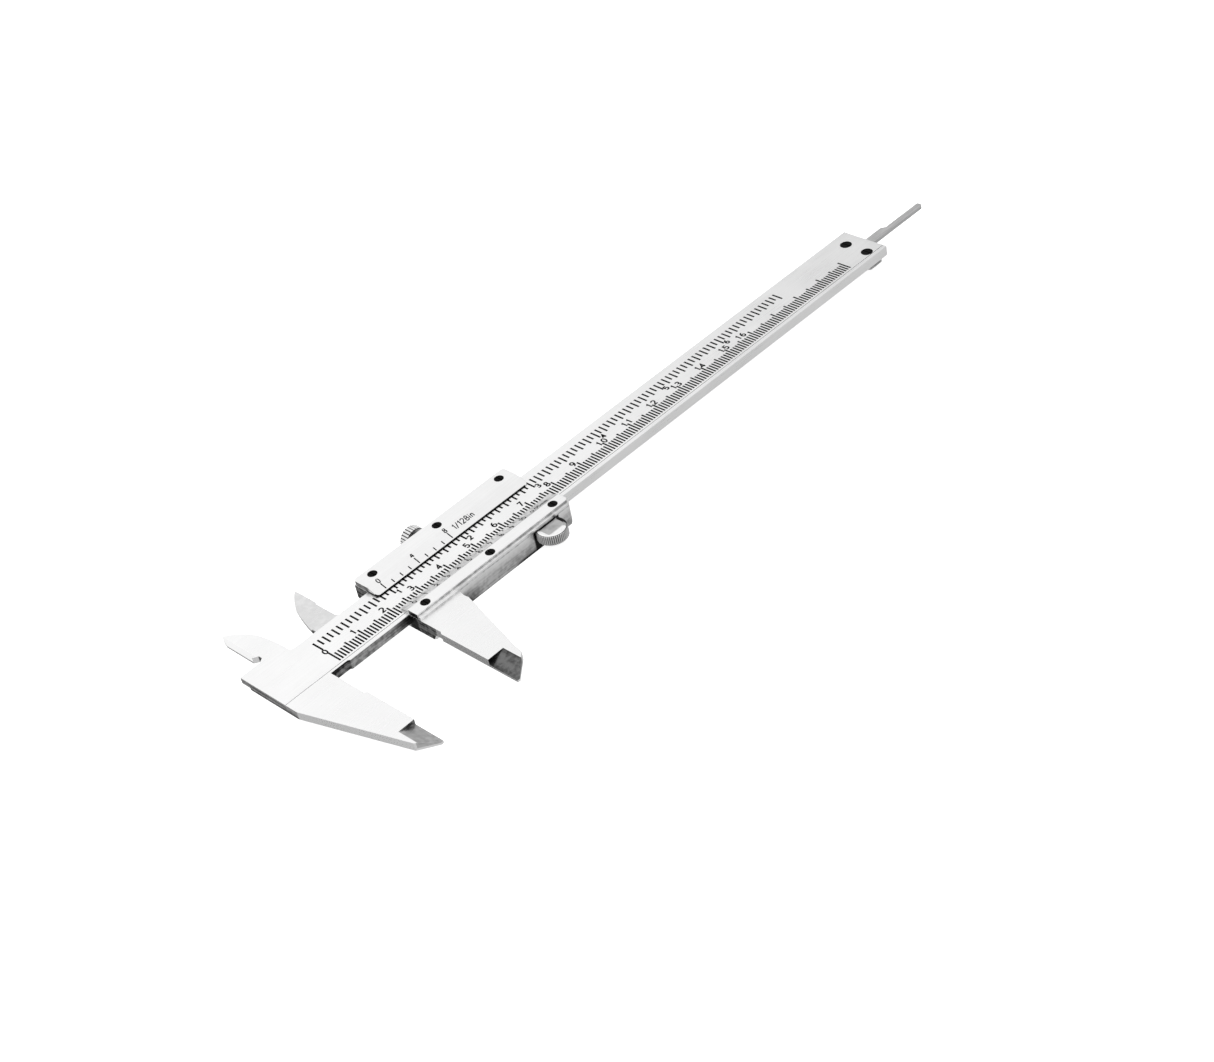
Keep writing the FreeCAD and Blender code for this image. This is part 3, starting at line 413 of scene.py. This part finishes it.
# Width and strokes of each character, in a cell one unit tall with its lower left at 0, 0.
GLYPHS = {
    "0": (0.62, [arc(0.31, 0.5, 0.24, 0.44, 0, 360, 28)]),
    "1": (0.36, [[(0.06, 0.76), (0.24, 0.94), (0.24, 0.06)]]),
    "2": (0.60, [arc(0.30, 0.69, 0.23, 0.25, 160, -38) + [(0.07, 0.06), (0.54, 0.06)]]),
    "3": (0.60, [arc(0.29, 0.72, 0.21, 0.22, 150, -90)
                 + arc(0.29, 0.285, 0.24, 0.225, 90, -150)[1:]]),
    "4": (0.62, [[(0.42, 0.06), (0.42, 0.94), (0.05, 0.32), (0.57, 0.32)]]),
    "5": (0.60, [[(0.51, 0.94), (0.14, 0.94), (0.10, 0.52)]
                 + arc(0.29, 0.33, 0.24, 0.27, 128, -150)]),
    "6": (0.60, [arc(0.31, 0.32, 0.23, 0.26, 165, -195, 22)[:-1]
                 + arc(0.48, 0.34, 0.42, 0.60, 180, 95)]),
    "7": (0.58, [[(0.06, 0.94), (0.53, 0.94), (0.22, 0.06)]]),
    "8": (0.60, [arc(0.30, 0.72, 0.19, 0.22, -90, 270, 24),
                 arc(0.30, 0.28, 0.24, 0.22, 90, 450, 24)]),
    "9": (0.60, [arc(0.29, 0.68, 0.23, 0.26, -15, 345, 22)[:-1]
                 + arc(0.12, 0.66, 0.40, 0.60, 0, -85)]),
    "/": (0.44, [[(0.02, 0.00), (0.40, 1.00)]]),
    "i": (0.22, [[(0.10, 0.06), (0.10, 0.62)], [(0.10, 0.80), (0.10, 0.90)]]),
    "n": (0.50, [[(0.08, 0.06), (0.08, 0.64)],
                 [(0.08, 0.44)] + arc(0.25, 0.44, 0.17, 0.20, 150, 0, 8) + [(0.42, 0.06)]]),
    "m": (0.72, [[(0.08, 0.06), (0.08, 0.64)],
                 [(0.08, 0.44)] + arc(0.22, 0.46, 0.14, 0.18, 150, 0, 8) + [(0.36, 0.06)],
                 [(0.36, 0.44)] + arc(0.50, 0.46, 0.14, 0.18, 150, 0, 8) + [(0.64, 0.06)]]),
    ".": (0.20, [[(0.08, 0.06), (0.08, 0.14)]]),
}
# Gap between characters, as a share of their height.
LETTER_GAP = 0.10
# How far a mark stands out of its surface, and how far it goes in.
PROUD = 0.012
SUNK = 0.030
# Longest straight step of a character, and of a tick.
STROKE_STEP = 0.35
TICK_STEP = 0.5


def resample(points, step):
    """The same line with extra points, so that it can follow a bend in the surface."""
    dense = [points[0]]
    for start, end in zip(points, points[1:]):
        length = math.dist(start, end)
        count = max(1, math.ceil(length / step))
        for index in range(1, count + 1):
            share = index / count
            dense.append((start[0] + (end[0] - start[0]) * share,
                          start[1] + (end[1] - start[1]) * share))
    return dense


def ribbon(mesh, points, width, surface, sunk=SUNK):
    """A closed strip of constant width that lies on a surface and is sunk a little into it."""
    closed = math.dist(points[0], points[-1]) < 1e-6
    if closed:
        points = points[:-1]
    count = len(points)
    rows = []
    for index, point in enumerate(points):
        before = points[index - 1] if index or closed else point
        after = points[(index + 1) % count] if index < count - 1 or closed else point
        first = Vector(point) - Vector(before)
        second = Vector(after) - Vector(point)
        first = first.normalized() if first.length > 1e-9 else second.normalized()
        second = second.normalized() if second.length > 1e-9 else first
        along = (first + second).normalized() if (first + second).length > 1e-6 else first
        side = Vector((-along.y, along.x))
        reach = min(width / 2 / max(0.5, side.dot(Vector((-first.y, first.x)))), width)
        row = []
        for sign in (1, -1):
            x, y = Vector(point) + side * reach * sign
            for lift in (PROUD, -sunk):
                row.append(mesh.verts.new(((x * MM), (y * MM), (surface(y) + lift) * MM)))
        rows.append(row)
    spans = range(count if closed else count - 1)
    for index in spans:
        here, there = rows[index], rows[(index + 1) % count]
        for a, b in ((0, 2), (2, 3), (3, 1), (1, 0)):
            mesh.faces.new((here[a], here[b], there[b], there[a]))
    if not closed:
        for row, order in ((rows[0], (0, 1, 3, 2)), (rows[-1], (0, 2, 3, 1))):
            mesh.faces.new([row[corner] for corner in order])


def write(mesh, text, centre, low, tall, width, surface, squeeze=1.0):
    """Characters centred on an X place, from a lower edge, of a height."""
    total = sum(GLYPHS[character][0] for character in text) + LETTER_GAP * (len(text) - 1)
    at = centre - total * tall * squeeze / 2
    for character in text:
        wide, strokes = GLYPHS[character]
        for stroke in strokes:
            line = [(at + x * tall * squeeze, low + y * tall) for x, y in stroke]
            ribbon(mesh, resample(line, STROKE_STEP), width, surface)
        at += (wide + LETTER_GAP) * tall * squeeze


def tick(mesh, x, low, high, width, surface):
    ribbon(mesh, resample([(x, low), (x, high)], TICK_STEP), width, surface)


def marks_piece(name, body, draw):
    """One named piece that holds a set of marks and rides on a body."""
    mesh = bmesh.new()
    draw(mesh)
    bmesh.ops.recalc_face_normals(mesh, faces=mesh.faces)
    data = bpy.data.meshes.new(name)
    mesh.to_mesh(data)
    mesh.free()
    piece = bpy.data.objects.new(name, data)
    bpy.context.scene.collection.objects.link(piece)
    data.materials.append(ink)
    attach(piece, body)


def on_beam(_):
    return FACE_Z


def profile(points):
    """Height of a plate's front at a Y place, from its cross-section."""
    def height(y):
        for (y0, z0), (y1, z1) in zip(points, points[1:]):
            if y <= y1:
                return z0 + (z1 - z0) * (y - y0) / (y1 - y0)
        return points[-1][1]
    return height


UPPER_BACK, UPPER_FRONT = plate_low.z / MM, plate_high.z / MM
LOWER_BACK, LOWER_FRONT = lower_low.z / MM, lower_high.z / MM
on_upper = profile([(BEAM_Y + 11.9, UPPER_BACK + 0.2), (BEAM_Y + 16.3, UPPER_FRONT),
                    (BEAM_Y + 22.0, UPPER_FRONT)])
on_lower = profile([(BEAM_Y - 4.0, LOWER_FRONT), (BEAM_Y - 0.05, LOWER_FRONT),
                    (BEAM_Y + 2.9, LOWER_BACK + 0.3), (BEAM_Y + 3.6, LOWER_BACK + 0.2)])


# Feet and tops of the beam's ticks, above its lower edge.
METRIC_FOOT = 2.05
METRIC_TOP, FIVE_TOP, TEN_TOP = 5.6, 6.35, 6.96
INCH_TOP = 13.05
ZERO_FOOT, INCH_FOOT, EIGHTH_FOOT, SIXTEENTH_FOOT = 8.95, 9.25, 9.65, 10.35
# Feet and tops of the verniers' ticks, above the beam's lower edge, and a metric division.
INCH_VERNIER_FOOT, INCH_VERNIER_TOP, INCH_VERNIER_LONG = 12.45, 13.7, 14.6
METRIC_VERNIER_LONG, METRIC_VERNIER_FOOT, METRIC_VERNIER_TOP = 2.35, 2.75, 3.58
METRIC_DIVISION = 1.95
# Line widths of the beam's ticks and numerals, and of the verniers'.
METRIC_LINE = 0.52
INCH_LINE = 0.55
NUMERAL_LINE = 0.44
INCH_VERNIER_LINE = 0.34
METRIC_VERNIER_LINE = 0.26
VERNIER_NUMERAL_LINE = 0.30


def draw_metric(mesh):
    """Millimetre ticks from 0 to 200 along the beam's lower edge."""
    for millimetre in range(201):
        top = TEN_TOP if millimetre % 10 == 0 else FIVE_TOP if millimetre % 5 == 0 else METRIC_TOP
        tick(mesh, SCALE_START + millimetre, BEAM_Y + METRIC_FOOT, BEAM_Y + top, METRIC_LINE,
             on_beam)


def draw_inch(mesh):
    """Sixteenths of an inch along the beam's upper edge, up to 7 inches."""
    for sixteenth in range(113):
        if sixteenth == 0:
            low = ZERO_FOOT
        elif sixteenth % 16 == 0:
            low = INCH_FOOT
        else:
            low = EIGHTH_FOOT if sixteenth % 2 == 0 else SIXTEENTH_FOOT
        tick(mesh, SCALE_START + sixteenth * INCH / 16, BEAM_Y + low, BEAM_Y + INCH_TOP,
             INCH_LINE, on_beam)


def draw_numerals(mesh):
    """The shared zero, centimetres 1 to 16 and inches 1 to 6. From 10 on, the two figures stand
    either side of their tick, except 16, which makes room for the 6 inches."""
    low, tall = BEAM_Y + 6.25, 2.2
    write(mesh, "0", 3.7, BEAM_Y + 6.85, 2.0, NUMERAL_LINE, on_beam)
    for centimetre in range(1, 17):
        at = SCALE_START + 10 * centimetre
        if centimetre < 10:
            write(mesh, str(centimetre), at - 1.15, low, tall, NUMERAL_LINE, on_beam)
        else:
            first, second = (-0.8, 1.1) if centimetre < 16 else (-3.5, -1.75)
            write(mesh, "1", at + first, low, tall, NUMERAL_LINE, on_beam)
            write(mesh, str(centimetre % 10), at + second, low, tall, NUMERAL_LINE, on_beam)
    for inch in range(1, 7):
        write(mesh, str(inch), SCALE_START + INCH * inch + 0.9, BEAM_Y + 8.0, 1.95, NUMERAL_LINE,
              on_beam)


def draw_inch_vernier(mesh):
    """Eight divisions for 1/128 inch, with the unit beside them."""
    zero = SCALE_START + READING
    for division in range(9):
        x = zero + division * INCH * 15 / 128
        long_mark = division % 4 == 0
        top = INCH_VERNIER_LONG if long_mark else INCH_VERNIER_TOP
        tick(mesh, x, BEAM_Y + INCH_VERNIER_FOOT, BEAM_Y + top, INCH_VERNIER_LINE, on_upper)
        if long_mark:
            write(mesh, str(division), x + 0.15, BEAM_Y + 14.8, 1.6, VERNIER_NUMERAL_LINE,
                  on_upper)
    write(mesh, "1/128in", 58.8, BEAM_Y + 13.75, 1.85, 0.28, on_upper, squeeze=1.05)


def draw_metric_vernier(mesh):
    """Twenty divisions over 39 mm for 0.05 mm, numbered 0 to 10."""
    zero = SCALE_START + READING
    for division in range(21):
        x = zero + division * METRIC_DIVISION
        low = METRIC_VERNIER_LONG if division % 2 == 0 else METRIC_VERNIER_FOOT
        tick(mesh, x, BEAM_Y + low, BEAM_Y + METRIC_VERNIER_TOP, METRIC_VERNIER_LINE, on_lower)
        if division % 2 == 0:
            write(mesh, str(division // 2), x, BEAM_Y + 0.45, 1.75, VERNIER_NUMERAL_LINE, on_lower)
    write(mesh, "0.05mm", zero + 45.2, BEAM_Y + 0.75, 1.5, 0.24, on_lower)


def draw_scribed_line(mesh):
    """Dark bottom of the fine line scribed along the beam."""
    at = BEAM_Y + 1.33
    ribbon(mesh, [(-14.9, at), (217.9, at)], 0.17, lambda _: FACE_Z - 0.055)


def draw_edge_line(mesh):
    """Painted shadow under the upper plate's knife edge: a black strip on the edge, carried round
    its left corner.
    """
    y = BEAM_Y + 11.86
    corner, inset, step, width = 1.04, 1.10, 0.8, 0.30
    left, right = plate_low.x / MM, plate_high.x / MM
    line = arc(left + inset, y + 1.12, corner, corner, 180, 270) + [(right - inset, y + 0.08)]
    ribbon(mesh, resample(line, step), width, lambda at: on_upper(max(at, y)), sunk=0.2)


marks_piece("beam_metric_scale", "beam", draw_metric)
marks_piece("beam_inch_scale", "beam", draw_inch)
marks_piece("beam_numerals", "beam", draw_numerals)
marks_piece("beam_scribed_line", "beam", draw_scribed_line)
# A black strip painted as the shadow under the upper plate's knife edge.
marks_piece("upper_plate_edge_shadow", "slider", draw_edge_line)
marks_piece("inch_vernier_marks", "slider", draw_inch_vernier)
marks_piece("metric_vernier_marks", "slider", draw_metric_vernier)


# ---------------------------------------------------------------- floor, light and camera

# Half the floor's side, and its gap to the caliper, in metres.
FLOOR_HALF = 30.0
FLOOR_GAP = 0.0002
# The floor's two greys, its roughness, its gloss and its glow.
FLOOR_GREYS = (0.74, 0.78)
FLOOR_ROUGH = 0.9
FLOOR_GLOSS = 0.1
FLOOR_GLOW = 0.75
# Levels of the surroundings on the left, on the right and below, and where they change.
LEVEL_LEFT, LEVEL_RIGHT, LEVEL_BELOW = 1.05, 0.56, 0.60
TURN_X = (0.42, 0.72)
TURN_Z = (-0.38, 0.05)
# The dark panel's share, its direction and its soft border.
PANEL_SHADE = 0.62
PANEL_DIRECTION = Vector((-0.40, 0.70, -0.60)).normalized()
PANEL_BORDER = (0.90, 0.98)
# The camera's axes and place in the part's frame, and its lens in millimetres, as fitted to the
# scale's marks in the photograph.
CAMERA_RIGHT = Vector((0.68372598, -0.70933788, -0.17134338))
CAMERA_UP = Vector((0.54188711, 0.33626446, 0.77024969))
CAMERA_BACK = Vector((-0.48875059, -0.61948849, 0.61429380))
CAMERA_PLACE = (-0.220249, -0.377620, 0.375321)
CAMERA_LENS = 70.053


def make_floor():
    """A wide pale sheet just under the caliper's lowest face."""
    mesh = bmesh.new()
    corners = [mesh.verts.new((x * FLOOR_HALF, y * FLOOR_HALF, slider_low.z - FLOOR_GAP))
               for x, y in ((-1, -1), (1, -1), (1, 1), (-1, 1))]
    mesh.faces.new(corners)
    data = bpy.data.meshes.new("floor")
    mesh.to_mesh(data)
    mesh.free()
    floor = bpy.data.objects.new("floor", data)
    bpy.context.scene.collection.objects.link(floor)
    material = bpy.data.materials.new("pale_floor")
    material.use_nodes = True
    graph = Graph(material.node_tree)
    place = graph.add("ShaderNodeTexCoord").outputs["Object"]
    clouds = graph.noise(place, (4, 4, 4), detail=2.0)
    colour = graph.blend(clouds, *map(grey, FLOOR_GREYS))
    shader = graph.add("ShaderNodeBsdfPrincipled")
    shader.inputs["Roughness"].default_value = FLOOR_ROUGH
    shader.inputs["Specular IOR Level"].default_value = FLOOR_GLOSS
    shader.inputs["Emission Color"].default_value = grey(1.0)
    shader.inputs["Emission Strength"].default_value = FLOOR_GLOW
    graph.link(colour, shader.inputs["Base Color"])
    output = graph.add("ShaderNodeOutputMaterial")
    graph.link(shader.outputs["BSDF"], output.inputs["Surface"])
    data.materials.append(material)
    floor.visible_glossy = False


def make_world():
    """Studio surroundings: bright above, greyer to the right and below."""
    world = bpy.data.worlds.new("studio")
    world.use_nodes = True
    bpy.context.scene.world = world
    graph = Graph(world.node_tree)
    direction = graph.add("ShaderNodeTexCoord").outputs["Generated"]
    axes = graph.add("ShaderNodeSeparateXYZ")
    graph.link(direction, axes.inputs[0])
    bright = graph.spread(axes.outputs["X"], *TURN_X, LEVEL_LEFT, LEVEL_RIGHT)
    above = graph.spread(axes.outputs["Z"], *TURN_Z)
    extra = graph.math("MULTIPLY", above, graph.math("SUBTRACT", bright, LEVEL_BELOW))
    level = graph.math("ADD", extra, LEVEL_BELOW)

    # A dark panel low behind the caliper, to its left, for the faces that mirror it.
    dot = graph.add("ShaderNodeVectorMath", operation="DOT_PRODUCT")
    graph.link(direction, dot.inputs[0])
    dot.inputs[1].default_value = PANEL_DIRECTION
    shade = graph.spread(dot.outputs["Value"], *PANEL_BORDER, 0.0, PANEL_SHADE)
    level = graph.math("MULTIPLY", level, graph.math("SUBTRACT", 1.0, shade))
    background = graph.add("ShaderNodeBackground")
    background.inputs["Color"].default_value = (1.0, 1.0, 1.0, 1.0)
    graph.link(level, background.inputs["Strength"])
    output = graph.add("ShaderNodeOutputWorld")
    graph.link(background.outputs["Background"], output.inputs["Surface"])


def make_light(name, place, target, width, height, power):
    """A soft rectangular lamp that isn't seen in the metal's reflections."""
    light = bpy.data.lights.new(name, "AREA")
    light.shape = "RECTANGLE"
    light.size = width
    light.size_y = height
    light.energy = power
    lamp = bpy.data.objects.new(name, light)
    bpy.context.scene.collection.objects.link(lamp)
    lamp.location = place
    lamp.rotation_euler = (Vector(target) - Vector(place)).to_track_quat("-Z", "Y").to_euler()
    lamp.visible_glossy = False


def make_camera():
    """Camera above the jaws' side, looking along the beam from the left."""
    data = bpy.data.cameras.new("camera")
    data.sensor_fit = "HORIZONTAL"
    data.sensor_width = 36.0
    data.lens = CAMERA_LENS
    camera = bpy.data.objects.new("camera", data)
    bpy.context.scene.collection.objects.link(camera)
    turn = Matrix((CAMERA_RIGHT, CAMERA_UP, CAMERA_BACK)).transposed().to_4x4()
    camera.matrix_world = Matrix.Translation(CAMERA_PLACE) @ turn
    bpy.context.scene.camera = camera


make_floor()
make_world()
make_light("overhead", place=(0.10, 0.03, 0.80), target=(0.10, 0.03, 0.0),
           width=0.9, height=0.9, power=2.5)
make_camera()
bpy.context.scene.view_settings.view_transform = "Standard"
